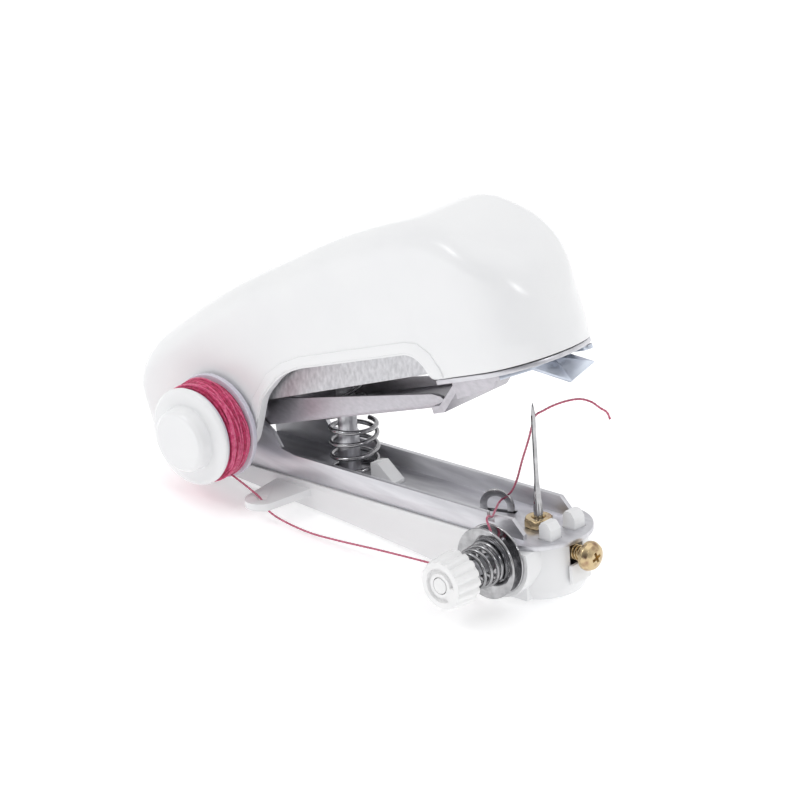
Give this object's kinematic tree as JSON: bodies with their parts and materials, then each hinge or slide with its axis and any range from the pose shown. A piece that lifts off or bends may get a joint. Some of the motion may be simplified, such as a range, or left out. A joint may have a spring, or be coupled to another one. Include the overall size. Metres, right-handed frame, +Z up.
{
  "type": "hand-held sewing machine",
  "caption": "Squeezed hand sewing machine: sprung white shell over a steel needle arm, side spool, disc tension knob and thread.",
  "frame": {"origin": "on the surface it stands on, under the middle of the machine's box, measured without the free threads", "axes": "+X from the hinge towards the needle, +Y away from the spool side, +Z up, away from the table"},
  "size_m": [0.1052, 0.0402, 0.0696],
  "materials": {
    "white_plastic": "gloss",
    "clear_plastic": "gloss, translucent",
    "sheet_steel": "satin",
    "galvanised": "mottled zinc",
    "bright_chrome": "polished",
    "yellow_zinc": "satin yellow passivate",
    "spring_steel": "bright drawn",
    "crimson_thread": "spun polyester",
    "dark_steel": "oiled"
  },
  "bodies": {
    "arm": {"arm_channel": "sheet_steel", "arm_cover": "white_plastic", "needle": "bright_chrome", "needle_clamp": "yellow_zinc", "ring_guide": "sheet_steel", "guide_post": "sheet_steel", "main_spring": "spring_steel", "tension_stud": "sheet_steel", "tension_disc_rear": "bright_chrome", "tension_disc_front": "bright_chrome", "tension_spring": "spring_steel", "hinge_pin": "sheet_steel", "spool_washer": "spring_steel", "thread_supply": "crimson_thread", "thread_needle": "crimson_thread"},
    "upper_body": {"body_shell": "white_plastic", "upper_frame": "galvanised", "throat_plate": "sheet_steel", "crank_pin": "sheet_steel", "looper_pin": "sheet_steel", "frame_screw_1": "sheet_steel", "frame_screw_2": "sheet_steel", "plate_screw_1": "sheet_steel", "plate_screw_2": "sheet_steel", "plate_screw_3": "sheet_steel", "upper_spring": "spring_steel"},
    "presser": {"presser_plate": "sheet_steel", "spring_seat": "sheet_steel"},
    "spool": {"bobbin": "clear_plastic", "wound_thread": "crimson_thread", "spool_cap": "white_plastic"},
    "knob": {"tension_knob": "white_plastic"},
    "screw": {"clamp_screw": "yellow_zinc"},
    "crank": {"drive_crank": "dark_steel"},
    "slide": {"looper_slide": "sheet_steel"},
    "hook": {"looper": "bright_chrome"},
    "feed": {"feed_dog": "dark_steel"}
  },
  "joints": [
    {"name": "body_hinge", "type": "hinge", "parent": "arm", "child": "upper_body", "pos_m": [-0.02993, 0.0059, 0.01341], "axis": [0, 1, 0], "range_deg": [0, 14.4], "stiffness_Nm_per_rad": 2.4, "springref_deg": -7.16, "deforming": ["main_spring", "thread_needle"]},
    {"name": "presser_hinge", "type": "hinge", "parent": "upper_body", "child": "presser", "pos_m": [-0.02993, 0.0059, 0.01341], "axis": [0, 1, 0], "range_deg": [0, 3], "stiffness_Nm_per_rad": 1.2, "springref_deg": -4.58, "deforming": ["main_spring", "upper_spring", "thread_needle"]},
    {"name": "spool_spin", "type": "hinge", "parent": "arm", "child": "spool", "pos_m": [-0.02993, -0.0104, 0.01341], "axis": [0, 1, 0], "continuous": true},
    {"name": "knob_turn", "type": "hinge", "parent": "arm", "child": "knob", "pos_m": [0.03754, -0.0171, 0.00961], "axis": [0, 1, 0], "range_deg": [-180, 180]},
    {"name": "screw_turn", "type": "hinge", "parent": "arm", "child": "screw", "pos_m": [0.05034, 0.0059, 0.01118], "axis": [0.9925, 0, 0.1219], "range_deg": [-180, 180]},
    {"name": "crank_turn", "type": "hinge", "parent": "upper_body", "child": "crank", "pos_m": [-0.02355, 0.0078, 0.03028], "axis": [0, 1, 0], "range_deg": [0, 28.8]},
    {"name": "slide_travel", "type": "slide", "parent": "upper_body", "child": "slide", "axis": [0.9033, 0, 0.4289], "range_m": [0, 0.00348]},
    {"name": "hook_swing", "type": "hinge", "parent": "upper_body", "child": "hook", "pos_m": [0.01209, 0.0085, 0.06248], "axis": [0, -1, 0], "range_deg": [0, 28.8]},
    {"name": "feed_travel", "type": "slide", "parent": "upper_body", "child": "feed", "axis": [0.9033, 0, 0.4289], "range_m": [0, 0.002]}
  ],
  "couplings": [
    {"joint": "crank_turn", "follows": "body_hinge", "ratio": 2},
    {"joint": "slide_travel", "follows": "body_hinge", "m_per_rad": 0.013854},
    {"joint": "hook_swing", "follows": "body_hinge", "ratio": 2},
    {"joint": "feed_travel", "follows": "body_hinge", "m_per_rad": 0.00795}
  ]
}
